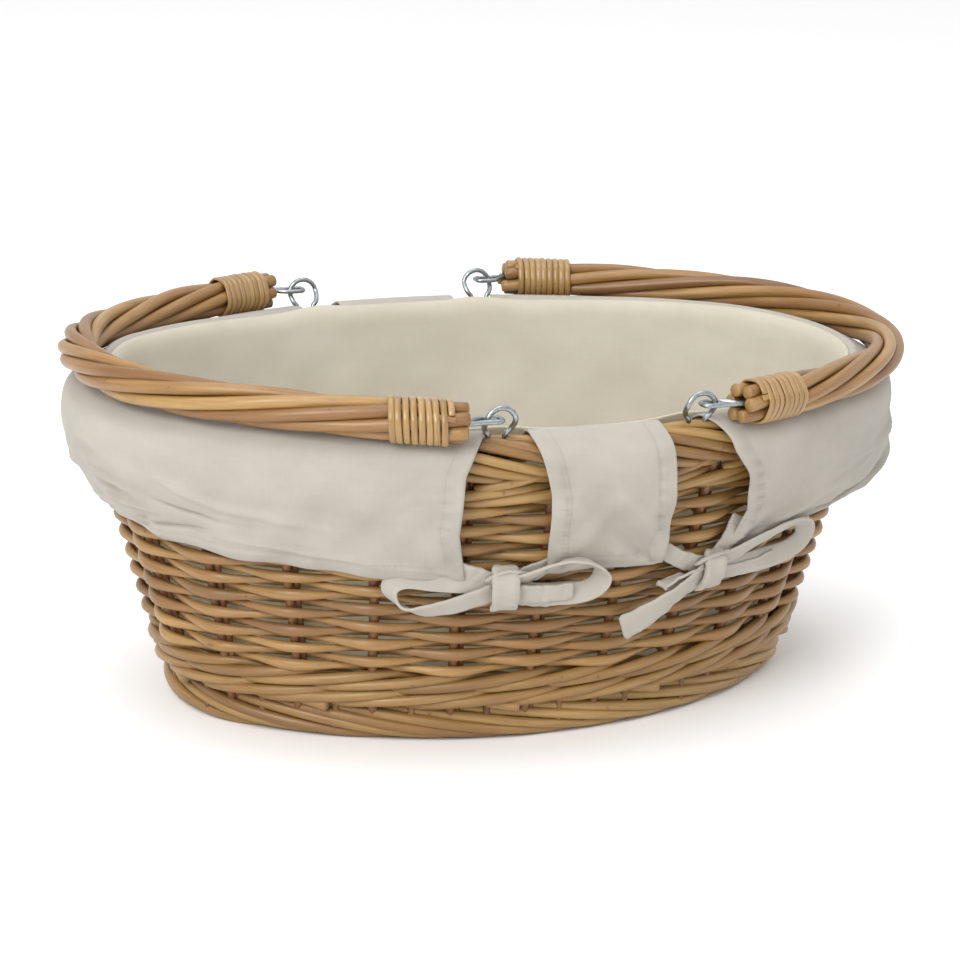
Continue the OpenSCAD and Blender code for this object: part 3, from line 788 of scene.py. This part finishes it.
def bend_links(name, sign):
    """Each link is one bent wire: its closed end is the hinge pin in the eye, and its
    legs close up and run into the end of the rods."""
    rods = Pieces()
    mouth = on_oval(np.array([math.pi / 2 + MOUTH_A]), HANDLE_OFF, HINGE_Z)[0]
    into = np.array([-math.cos(MOUTH_A), -math.sin(MOUTH_A), 0])
    across = np.array([-math.sin(MOUTH_A), math.cos(MOUTH_A), 0])
    eye = np.array([-HINGE_X, EYE_HIGH.y - EYE_INSET, HINGE_Z])
    half = 4.2 * MM

    def leg(m):
        corner = [eye + np.array([-3 * MM + 3 * MM * math.sin(t), m * (half - 3 * MM + 3 * MM * math.cos(t)), 0])
                  for t in np.linspace(0, math.pi / 2, 6)]
        return [mouth + 1.45 * MM * m * across + into * d for d in (17 * MM, 9 * MM, 1 * MM)] + \
            [eye + np.array([-11 * MM, m * (half - 0.3 * MM), 0])] + corner

    points = leg(1) + leg(-1)[::-1]
    path = curve_through(points, 90)
    for mirror in (1, -1):
        p = path * np.array([1, mirror, 1])
        rods.tube(turned(p, sign), 1.3 * MM, UP, 12, 0.5)
    rods.build(name + "_wire_links", "galvanised_wire", [name + "_handle_links"], name + "_handle")


# --- cloth
FABRIC = 0.9 * MM
SLOTS = (79, 101, 259, 281)   # degrees, where handles and ties leave the cloth open
PUFFED = (142, 22)            # degrees, where the cloth stands up and how far round
INSET_WIDTH = 75 * MM         # from a panel's edge to where it stands off fully
SKIRT_RADIUS = 0.24           # metres round per radian, at the skirt
SKIRT_STRETCH = 1.14          # length of the skirt's line for that of the wall


def thicken(piece):
    """Gives a sheet its thickness and keeps it as plain mesh."""
    modifier = piece.modifiers.new("thickness", "SOLIDIFY")
    modifier.thickness = FABRIC
    modifier.offset = 0.0
    modifier.use_rim = True
    bpy.context.view_layer.update()
    graph = bpy.context.evaluated_depsgraph_get()
    mesh = bpy.data.meshes.new_from_object(piece.evaluated_get(graph), preserve_all_data_layers=True,
                                           depsgraph=graph)
    old = piece.data
    piece.modifiers.clear()
    piece.data = mesh
    bpy.data.meshes.remove(old)


def line_lining():
    """The lining: a wall strip up the inside of the basket, sewn to an oval floor."""
    columns = 264
    floor_z = BASE_HIGH.z + 1.2 * MM
    wall = [(-58.6 * MM, floor_z), (-56.6 * MM, floor_z + 3 * MM), (wall_mid(41 * MM) - 9.0 * MM, 41 * MM)]
    wall += [(wall_mid(z) - 8.8 * MM, z) for z in np.linspace(50, 98, 6) * MM]
    wall += [(-33.4 * MM, 120 * MM), (-28.9 * MM, 145 * MM), (-25.4 * MM, 165 * MM), (-24.3 * MM, 170.5 * MM),
             (-22.2 * MM, 174.6 * MM), (-18.6 * MM, 177.6 * MM)]
    line = curve_through([[off, z, 0] for off, z in wall], 70)
    a = np.linspace(0, 2 * np.pi, columns, endpoint=False)
    share = share_at(a)
    down = distances(line[:, :2])
    degrees = np.mod(np.degrees(a), 360)
    slots = sum(bell(degrees - c, 3.4) for c in SLOTS)
    inset = np.clip(75.5 - np.abs(np.mod(degrees + 90, 180) - 90), 0, None) * 4.2 * MM
    top = 2.0 * MM * slots + 3.6 * MM * (1 - bell(inset, INSET_WIDTH))
    top += 2.2 * MM * bell(degrees - PUFFED[0], PUFFED[1])
    grid = []
    for off, z, _ in line:
        h = (z - floor_z) / (RIM_Z - floor_z)
        ripple = 2.3 * MM * math.sin(math.pi * min(1, max(0, h * 1.05)))
        fold = wobble(share + 0.12 * h, 1.0, (3, 5, 8, 13, 21), 600) * ripple
        pucker = wobble(share, 1.0, (34, 55, 89), 610) * 0.35 * MM * math.exp(-h * 9)
        grid.append(on_oval(a, off - 0.7 * ripple + fold + pucker, z + top * smooth_step(z, 168 * MM, 177 * MM)))
    grid = np.array(grid)
    along = np.broadcast_to(np.abs(share - 0.5) * PERIMETER, grid.shape[:2])
    grain = np.stack([along, np.broadcast_to(down[:, None], along.shape), along], -1)
    strip = Pieces()
    strip.sheet(grid, np.broadcast_to(down[:, None] + 8 * MM, along.shape).copy(), grain, closed=True)
    piece = strip.build("cotton_lining_wall", "lining_cotton", ["liner_wall"])
    thicken(piece)
    oval = Pieces()
    rings = []
    for share_in in np.linspace(0.03, 0.995, 22):
        p = grid[0] * np.array([share_in, share_in, 1.0])
        lift = 0.9 * MM * wobble(share + share_in, 1.0, (2, 3, 5), 620) * math.sin(math.pi * share_in)
        p[:, 2] = floor_z + np.abs(lift)
        rings.append(p)
    rings = np.array(rings)
    grain = np.stack([rings[..., 0], rings[..., 1], rings[..., 0]], -1)
    oval.sheet(rings, np.ones(rings.shape[:2]), grain, closed=True)
    q = np.arange(columns) - oval.count
    fan = np.stack([np.zeros(columns, int), np.roll(q, -1), q], -1)
    oval.add(np.array([[0, 0, floor_z]]), [fan], 0.5, 1.0, np.zeros((1, 3)))
    piece = oval.build("cotton_lining_floor", "lining_cotton", ["liner_floor"])
    thicken(piece)


SKIRT_LINE = [(-23.4, 169), (-22.3, 172.3), (-19.9, 175.2), (-15.0, 178.2), (-8.0, 178.2), (-1.5, 175.3),
              (4.2, 169.5), (6.0, 161), (5.6, 152), (3.8, 144), (0.5, 136), (-3.8, 128), (-7.8, 120), (-10.8, 112),
              (-14.0, 104), (-17.8, 98.2)]


def hang_skirt(name, node, a0, a1, edges, drops, flare, seed, columns, creases=()):
    """One panel folded out over the rim and drawn in at its lower corners by the ties.
    edges gives the two side edges' shift in degrees at shares of the way down; drops the
    fall of the hem in millimetres at angles along it; flare how far it stands off at its
    middle instead of following the wall; creases lie between two places, each a share
    across and a share down, with a width and a height."""
    line = curve_through([[o * MM, z * MM, 0] for o, z in SKIRT_LINE], 84)
    down = distances(line[:, :2])
    full = down[-1]
    u = np.linspace(0, 1, columns)
    grid, hem = [], []
    for i, (off, z, _) in enumerate(line):
        f = down[i] / full
        lo = math.radians(a0 + np.interp(f, *edges[0]))
        hi = math.radians(a1 + np.interp(f, *edges[1]))
        a = lo + (hi - lo) * u
        degrees = np.degrees(a)
        share = share_at(a)
        side = np.minimum(u, 1 - u) * (hi - lo) * SKIRT_RADIUS
        edge = full - down[i]
        hang = float(np.clip((f - 0.32) / 0.68, 0, 1))
        near = bell(side, 30 * MM)
        wide = 1 - bell(side, INSET_WIDTH)
        stand = flare * wide * np.interp(z / MM, [97, 104, 112, 120, 128, 136, 144, 152],
                                         [9, 14, 14, 13, 10, 6.5, 3, 0])
        folds = wobble(share, 1.0, (9, 14, 21, 31), seed) * 3.6 * MM * hang**1.2 * (1 - 0.6 * near)
        slack = wobble(share + 0.06 * f, 1.0, (15, 26, 41), seed + 3) * 1.7 * MM * float(smooth_step(f, 0.25, 0.6))
        from_tie = np.hypot(side, edge * 1.2)
        fan = np.sin(np.arctan2(side + 2 * MM, edge + 4 * MM) * 9 + seed) * np.exp(-from_tie / (32 * MM))
        pull = fan * 1.9 * MM * smooth_step(from_tie, 1 * MM, 12 * MM)
        gathers = np.sin(down[i] / (3.1 * MM) * 2 * math.pi + 2 * np.sin(down[i] / (19 * MM)))
        at_edge = bell(side - 7 * MM, 3.2 * MM)
        puckers = 0.6 * MM * gathers * at_edge * smooth_step(f, 0.25, 0.4)
        gather = 0.7 + 1.1 * bell(degrees - 185, 26)
        hem_waves = wobble(share, 1.0, (58, 83, 121), seed + 11) * bell(edge - 8 * MM, 6 * MM)
        hem_waves = hem_waves * gather * 1.1 * MM
        fall = np.interp(degrees, *drops) * MM + wobble(share, 1.2 * MM, (7, 12, 29), seed + 7)
        rolled = 0.5 * MM * float(smooth_step(-edge, -9.5 * MM, -8.0 * MM))
        rolled += 0.45 * MM * smooth_step(-side, -7.0 * MM, -5.5 * MM) * smooth_step(f, 0.1, 0.2)
        crease = np.zeros_like(u)
        for u0, f0, u1, f1, across, depth in creases:
            along = np.clip(((u - u0) * (u1 - u0) * 0.4 + (f - f0) * (f1 - f0)) /
                            ((u1 - u0) ** 2 * 0.4 + (f1 - f0) ** 2), 0, 1)
            du = (u - u0 - along * (u1 - u0)) * (hi - lo) * SKIRT_RADIUS
            df = (f - f0 - along * (f1 - f0)) * full
            crease += depth * MM * np.exp(-(du**2 + df**2) / (across * MM) ** 2) * np.sin(np.pi * (0.1 + 0.8 * along))
        out = off + stand * MM + folds + slack + pull + puckers + hem_waves + rolled + crease
        drawn = np.where(edge < 26 * MM, near * (26 * MM - edge) / (26 * MM), 0.0)
        out = out - 2.2 * MM * drawn
        over_rim = float(bell(off / MM + 16.5, 4.5)) * (1 if z > 166 * MM else 0)
        puffed = (4.2 * wide + 2.6 * bell(degrees - PUFFED[0], PUFFED[1])) * MM * over_rim
        height = z - fall * hang**2 + puffed
        clear = wall_mid(height) + 8.2 * MM
        out = np.where(z < 150 * MM, np.maximum(out, clear), out)
        grid.append(on_oval(a, out, height))
        hem.append(np.minimum(edge, side + 2.5 * MM))
    grid, hem = np.array(grid), np.array(hem)
    cloth = Pieces()
    around = share_at(np.radians(a0 + (a1 - a0) * u)) * PERIMETER * SKIRT_STRETCH
    around = np.broadcast_to(around, hem.shape)
    grain = np.stack([around, np.broadcast_to(down[:, None], hem.shape), around], -1)
    cloth.sheet(grid, hem, grain)
    piece = cloth.build(name, "skirt_cotton", [node])
    thicken(piece)


def hang_skirts():
    far = ([0, 0.18, 0.38, 0.5, 0.75, 1], [-1.5, -1.2, 0.6, 2.6, 5.0, 5.0])
    near = ([0, 0.18, 0.4, 0.7, 1], [1.2, 0.9, -1.2, -1.5, -0.3])
    left = [(0.55, 0.60, 0.68, 0.66, 8, 3.2), (0.52, 0.72, 0.64, 0.70, 7, -2.8), (0.56, 0.80, 0.70, 0.76, 6, 3.6),
            (0.50, 0.5, 0.62, 0.52, 9, -2.4), (0.47, 0.85, 0.58, 0.88, 8, 2.4), (0.66, 0.86, 0.80, 0.82, 7, -3.2),
            (0.72, 0.5, 0.9, 0.72, 12, 3.0), (0.82, 0.84, 0.98, 0.93, 9, 2.8), (0.70, 0.66, 0.84, 0.76, 9, -3.0),
            (0.62, 0.93, 0.72, 0.80, 6, 3.0), (0.30, 0.6, 0.46, 0.7, 9, 3.0), (0.05, 0.9, 0.25, 0.75, 9, 2.6)]
    right = [(0.03, 0.93, 0.16, 0.62, 7, 3.2), (0.05, 0.97, 0.26, 0.78, 7, -3.2), (0.12, 0.62, 0.30, 0.50, 9, 2.6),
             (0.16, 0.95, 0.36, 0.66, 8, 3.0), (0.24, 0.97, 0.42, 0.80, 8, -2.8), (0.42, 0.9, 0.52, 0.6, 12, -3.0),
             (0.62, 0.9, 0.66, 0.5, 12, 2.0), (0.80, 0.7, 0.95, 0.9, 10, 2.0)]
    narrow = [(0.30, 0.55, 0.93, 0.95, 5.5, -3.0), (0.50, 0.48, 0.98, 0.84, 5, 2.6), (0.10, 0.97, 0.4, 0.7, 6, 2.2)]
    hang_skirt("cotton_skirt_left", "liner_skirt_left", 104, 256, (far, near),
               ([104, 120, 165, 185, 198, 210, 222, 240, 250, 256], [-2, -4, -9, -15, -14, -11, -9, -5, -1.5, 1]),
               0.15, 700, 360, left)
    hang_skirt("cotton_skirt_right", "liner_skirt_right", -76, 76, (far, near),
               ([-76, -66, -52, -38, -15, 10, 50, 66, 76], [-2, -5, -11, -13, -10, -6, -3, -1, 1]),
               0.9, 720, 360, right)
    sides = (([0, 0.2, 0.5, 1], [-0.6, -0.4, 1.4, 2.6]), ([0, 0.2, 0.5, 1], [0.2, -0.9, -0.4, 1.8]))
    for place, a0, a1, middle, seed in (("front", 262.2, 277.6, 270, 740), ("back", 82.4, 97.8, 90, 760)):
        hem = ([middle - 8, middle, middle + 8], [-2.5, -3.5, -2.5])
        hang_skirt("cotton_skirt_" + place, "liner_skirt_" + place, a0, a1, sides, hem, 0.1, seed, 100, narrow)


def ribbon(cloth, points, width, count, thick=1.5 * MM, seed=0):
    """Folded cotton strip. Each point is x, y, z and the direction across the strip."""
    rows = curve_through(points, count)
    path, across = rows[:, :3], rows[:, 3:6]
    tangent = unit(np.gradient(path, axis=0))
    across = unit(across - (across * tangent).sum(-1, keepdims=True) * tangent)
    normal = np.cross(tangent, across)
    t = np.linspace(0, 1, count)
    along = distances(path)
    end = np.clip(np.minimum(along, along[-1] - along) / (2.2 * MM), 0, 1)
    w = width * (1 + wobble(t, 0.09, (1, 2, 3, 5), seed)) / 2 * (0.78 + 0.22 * np.sqrt(end * (2 - end)))
    tilt = wobble(t, 0.11, (2, 4, 6), seed + 5)[:, None]
    across, normal = across * np.cos(tilt) + normal * np.sin(tilt), normal * np.cos(tilt) - across * np.sin(tilt)
    path = path + normal * (wobble(t, 0.26 * MM, (6, 9, 13), seed + 9) * end)[:, None]
    half = [(-1.0, -0.5), (-0.97, -0.95), (-0.72, -1.0), (-0.3, -0.72), (0.1, -0.8), (0.5, -0.95), (0.9, -1.0),
            (1.0, -0.5)]
    section = half + [(-x, -y) for x, y in half]
    ring = np.stack([path + across * (w * x)[:, None] + normal * (thick / 2 * y) for x, y in section], 1)
    sides = len(section)
    place = np.array([x for x, _ in section]) * width / 2
    lengthwise = np.repeat(along, sides)
    grain = np.stack([np.tile(place, count), lengthwise, lengthwise], -1)
    edge = np.tile(np.array([(1 - abs(x)) * width / 2 for x, _ in section]), count)
    ends = [np.arange(sides)[::-1][None], ((count - 1) * sides + np.arange(sides))[None]]
    cloth.add(ring.reshape(-1, 3), [grid_faces(count, sides, False, True)] + ends, 0.5, edge, grain)
    return float(along[-1])


class TieFrame:
    """Local frame of a bow: x along the wall, y outward, z up the wall, and y measured
    from the curved wall so that the strips follow it round."""

    def __init__(self, angle, z, off):
        self.at = on_oval(np.array([angle]), off, z)[0]
        out = outward(np.array([angle]))[0]
        up = unit(np.array([out[0] * LEAN, out[1] * LEAN, 1.0]))
        self.x = unit(np.array([-out[1], out[0], 0.0]))
        self.y = unit(np.cross(self.x, up))
        self.z = up

    def points(self, rows):
        out = []
        for x, y, z, *way in rows:
            ax, ay, az = way or (0, 0, 1)
            bend = 0.75 * x * x / (2 * 255)
            p = self.at + MM * (x * self.x + (y - bend) * self.y + z * self.z)
            d = ax * self.x + ay * self.y + az * self.z
            out.append([*p, *d])
        return out


def wrap_knot(height, lean):
    """A strip wound once over the crossing of the others: x, y, z and the way across."""
    rows = []
    for t in np.linspace(-2.3, 2.3, 13):
        y = 3.3 + 6.2 * math.cos(t * 0.72)
        z = height / 2 * math.sin(t * 0.68)
        rows.append((lean * z, y, z, 1, 0.06 * t, 0.10 * math.sin(2 * t) - 0.15 * lean))
    return rows


LEFT_BOW = dict(
    knot=(14.0, 24.0, -0.05),
    outer=[
        (11.5, [(-5, 4.5, -2, 0, 0.1, 1), (-16, 6.5, -5, 0, 0.2, 1), (-29, 7.5, -9, -0.1, 0.3, 0.95),
            (-42, 7.5, -11.5, -0.1, 0.6, 0.8), (-52, 6.5, -10, 0.2, 0.95, 0.3), (-58, 5.5, -3.5, 0.5, 0.9, 0.0),
            (-57, 4.8, 2.5, 0.4, 0.9, -0.3), (-50, 4.3, 5.5, 0.1, 0.9, -0.5), (-35, 3.8, 5.0, 0, 0.6, -0.8),
            (-18, 3.2, 3.0, 0, 0.3, -0.95), (-4, 2.8, 1.5, 0, 0.1, -1)]),
        (10.0, [(-4, 3.2, 2.5), (-11, 2.8, 5.5, -0.2, 0, 1), (-19, 2.6, 8.5, -0.3, 0, 1),
            (-28, 0.6, 11.5, -0.3, 0, 1)]),
        (10.5, [(4, 6.0, -2.0), (14, 6.8, -2.6, 0, 0.05, 1), (25, 7.2, -2.8, 0, 0.05, 1), (36, 7.0, -2.2)]),
    ],
    inner=[
        (11.5, [(2.6, 4.0, 2, 0, 0.3, 0.95), (11.4, 6.5, 8, -0.3, 0.6, 0.7), (22, 9.0, 15, -0.2, 0.75, 0.55),
            (32.6, 9.5, 18, 0, 0.85, 0.4), (42.2, 9.0, 16, 0.35, 0.85, 0.1), (49.3, 8.0, 10, 0.6, 0.75, -0.1),
            (51, 7.0, 3, 0.7, 0.6, -0.3), (46.6, 6.0, -3.0, 0.5, 0.5, -0.7), (37, 4.8, -5.5, 0.1, 0.35, -0.95),
            (21.1, 3.6, -5.0, 0, 0.2, -1), (3.5, 2.8, -2.5, 0, 0.1, -1)]),
        (10.0, [(3, 2.6, 3), (11, 2.2, 6, 0.2, 0, 1), (19, 2.4, 9.5, 0.3, 0, 1), (26, 0.6, 12, 0.3, 0, 1)]),
        (9.5, [(4, 3.4, -5), (15, 3.8, -7.5, 0, 0.1, 1), (28, 3.8, -8.5, 0, 0.1, 1), (39, 3.4, -8.0, 0, 0.1, 1)]),
    ],
)

RIGHT_BOW = dict(
    knot=(13.0, 21.0, 0.06),
    outer=[
        (11.0, [(4.5, 4.5, 3, 0, 0.2, 1), (16.8, 6.0, 8, -0.2, 0.3, 0.95), (33.6, 7.5, 14, -0.15, 0.4, 0.9),
            (50.4, 8.0, 17, 0, 0.5, 0.85), (65, 7.5, 15.5, 0.5, 0.6, 0.5), (71.7, 7.0, 9, 0.9, 0.5, 0.0),
            (70.6, 6.5, 2.5, 0.9, 0.4, -0.4), (60.5, 6.0, -1.5, 0.4, 0.5, -0.8), (42.6, 5.0, -2.5, 0, 0.6, -0.8),
            (22.4, 4.0, -2.5, 0, 0.4, -0.9), (4.5, 3.0, -1.5, 0, 0.1, -1)]),
        (11.0, [(2, 3.0, 4, 0.7, 0, 0.7), (7, 3.0, 10, 0.85, 0, 0.5), (13, 2.6, 18, 0.9, 0, 0.45),
            (18, 0.6, 27, 0.9, 0, 0.4)]),
        (9.0, [(4, 3.4, -3), (18, 4.0, -4.8, 0, 0.1, 1), (34, 4.2, -5.0, 0, 0.1, 1), (50, 4.0, -3.2, 0, 0.1, 1)]),
    ],
    inner=[
        (15.0, [(-3, 5.2, -1, 0.1, 0, 1), (-14, 7.0, -5.5, 0.45, 0.1, 0.85), (-28, 8.5, -13, 0.5, 0.1, 0.85),
            (-42, 9.0, -20.5, 0.5, 0.05, 0.85), (-53, 9.0, -25.5, 0.5, 0.0, 0.85)]),
        (10.0, [(-3, 3.0, 2.5), (-11, 2.6, 5, -0.2, 0, 1), (-21, 2.4, 9, -0.3, 0, 1), (-32, 0.4, 15, -0.3, 0, 1)]),
        (7.0, [(-4, 4.4, 0.5, 0, 0.5, 0.9), (-14, 5.4, 0.6, 0, 0.7, 0.7), (-24, 5.6, -1.2, 0.2, 0.8, 0.5),
            (-31, 5.2, -4.5, 0.4, 0.8, 0.2), (-27, 4.4, -4.8, 0.2, 0.8, -0.4), (-16, 3.8, -2.6, 0, 0.6, -0.7)]),
    ],
)


def tie_bow(place, angle, z, bow):
    """A bow of two strips, one sewn to the corner of each panel beside the slot."""
    local = TieFrame(angle, z, wall_mid(z) + 7.4 * MM)
    for part in ("outer", "inner"):
        strip, length = Pieces(), 0.0
        for k, (width, rows) in enumerate(bow[part]):
            length += ribbon(strip, local.points(rows), width * MM, 18 + 4 * len(rows), seed=800 + k)
        if part == "outer":
            width, height, lean = bow["knot"]
            rows = wrap_knot(height, lean)
            length += ribbon(strip, local.points(rows), width * MM, 34, 3.4 * MM, seed=809)
            fold = [(-8, 3.5, 2, 0.3, 0.3, 1), (-5, 5.5, 7, 0, 0.5, 1), (1, 6.2, height * 0.42, -0.1, 0.6, 0.9),
                    (8, 5.2, 8, -0.3, 0.5, 0.9), (13, 3.6, 4.5, -0.3, 0.3, 1)]
            length += ribbon(strip, local.points(fold), 7.5 * MM, 26, 2.0 * MM, seed=815)
        piece = strip.build(f"cotton_tie_{place}_{part}", "tie_cotton", [f"tie_{place}_{part}"])


def tie_bows():
    for place, degrees, z, bow in (("front_left", 260.0, 96, LEFT_BOW), ("front_right", 286.1, 93, RIGHT_BOW),
                                   ("back_right", 80.0, 96, LEFT_BOW), ("back_left", 106.1, 93, RIGHT_BOW)):
        tie_bow(place, math.radians(degrees), z * MM, bow)


# --- make everything
weave_siding()
weave_wales()
set_stakes()
weave_rim()
weave_foot()
lay_base()
bend_eyes()
for side_name, side_sign in (("left", 1), ("right", -1)):
    twist_handle(side_name, side_sign)
    bend_links(side_name, side_sign)
line_lining()
hang_skirts()
tie_bows()


# --- stage
def floor_material():
    s = Shader("floor_white")
    s.bsdf.inputs["Base Color"].default_value = (0.96, 0.96, 0.96, 1)
    s.bsdf.inputs["Roughness"].default_value = 0.9
    return s.material


def build_stage():
    mesh = bpy.data.meshes.new("floor")
    size = 6.0
    mesh.from_pydata([(-size, -size, 0), (size, -size, 0), (size, size, 0), (-size, size, 0)], [], [(0, 1, 2, 3)])
    mesh.materials.append(floor_material())
    floor = place_object("floor", mesh)
    world = bpy.data.worlds.new("studio")
    world.use_nodes = True
    light_all_round = world.node_tree.nodes["Background"].inputs
    light_all_round["Color"].default_value = (1, 1, 1, 1)
    light_all_round["Strength"].default_value = 0.95
    bpy.context.scene.world = world
    for name, place, size, power in (("key", (-1.5, -1.4, 1.5), 1.1, 37), ("fill", (1.7, -1.1, 1.2), 1.6, 0.6),
                                     ("top", (0.0, 0.1, 2.2), 1.6, 17)):
        light = bpy.data.lights.new(name, "AREA")
        light.energy = power
        light.size = size
        lamp = place_object(name, light)
        lamp.location = place
        lamp.rotation_euler = look_rotation(np.array([0, 0, 0.1]) - np.array(place))


def look_rotation(direction, roll=0.0):
    q = Vector(direction).to_track_quat("-Z", "Y")
    return (q @ Quaternion((0, 0, 1), roll)).to_euler()


def place_camera():
    """The viewing angle: a little to the left of the front, looking down at the rim."""
    azimuth, elevation, roll = math.radians(-22.35), math.radians(16.6), math.radians(1.7)
    distance, target = 1.6, np.array([0, 0, 0.09])
    back = np.array([math.sin(azimuth) * math.cos(elevation), -math.cos(azimuth) * math.cos(elevation),
                     math.sin(elevation)])
    data = bpy.data.cameras.new("camera")
    data.sensor_width = 36.0
    data.lens = 107.65
    data.shift_x = -0.0025
    data.shift_y = 0.0335
    camera = place_object("camera", data)
    camera.location = target + distance * back
    camera.rotation_euler = look_rotation(-back, roll)
    bpy.context.scene.camera = camera


build_stage()
place_camera()
bpy.context.scene.view_settings.view_transform = "Standard"
